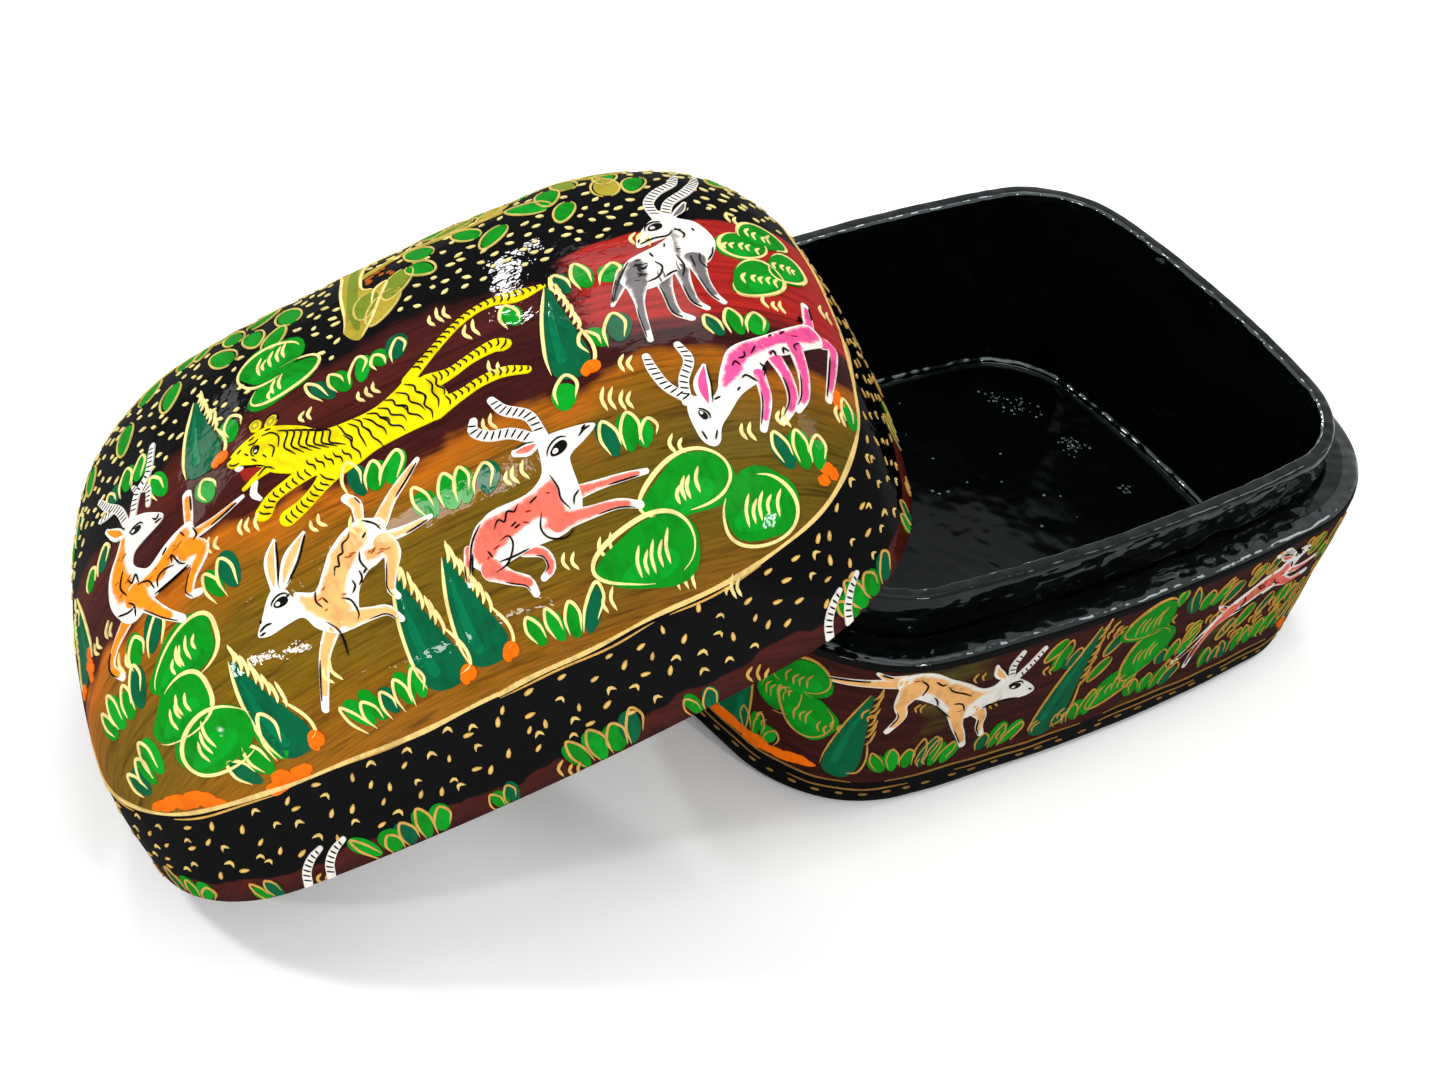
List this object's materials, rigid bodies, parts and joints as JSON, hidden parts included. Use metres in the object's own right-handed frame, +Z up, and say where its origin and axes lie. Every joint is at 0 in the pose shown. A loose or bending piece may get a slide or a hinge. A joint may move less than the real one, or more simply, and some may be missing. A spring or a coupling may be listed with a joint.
{
  "type": "papier mache jewelry box",
  "caption": "Bowed rounded-rectangle keepsake box of painted, lacquered paper pulp, with a black collar and floor inside and a pillow-shaped lid taken off and leaning on its end.",
  "frame": {"origin": "middle of the base's flat underside, on the table", "axes": "+X along the box's length, away from the end that the lid leans on; +Y across the box toward its back; +Z up"},
  "size_m": [0.2251, 0.1163, 0.0925],
  "materials": {
    "painted_base": "paper pulp painted maroon with figures and leaves, high-gloss clear lacquer",
    "black_lacquer": "thick lumpy black gloss lacquer over paper board",
    "painted_lid": "paper pulp painted with an olive and brown jungle ground inside a gold line, black skirt, high-gloss clear lacquer"
  },
  "bodies": {
    "base": {"base_shell": "painted_base", "base_liner": "black_lacquer", "floor_board": "black_lacquer"},
    "lid": {"lid_shell": "painted_lid"}
  },
  "joints": [
    {"name": "lid_lift", "type": "slide", "parent": "base", "child": "lid", "axis": [0, 0, 1], "range_m": [0, 0.09]}
  ]
}
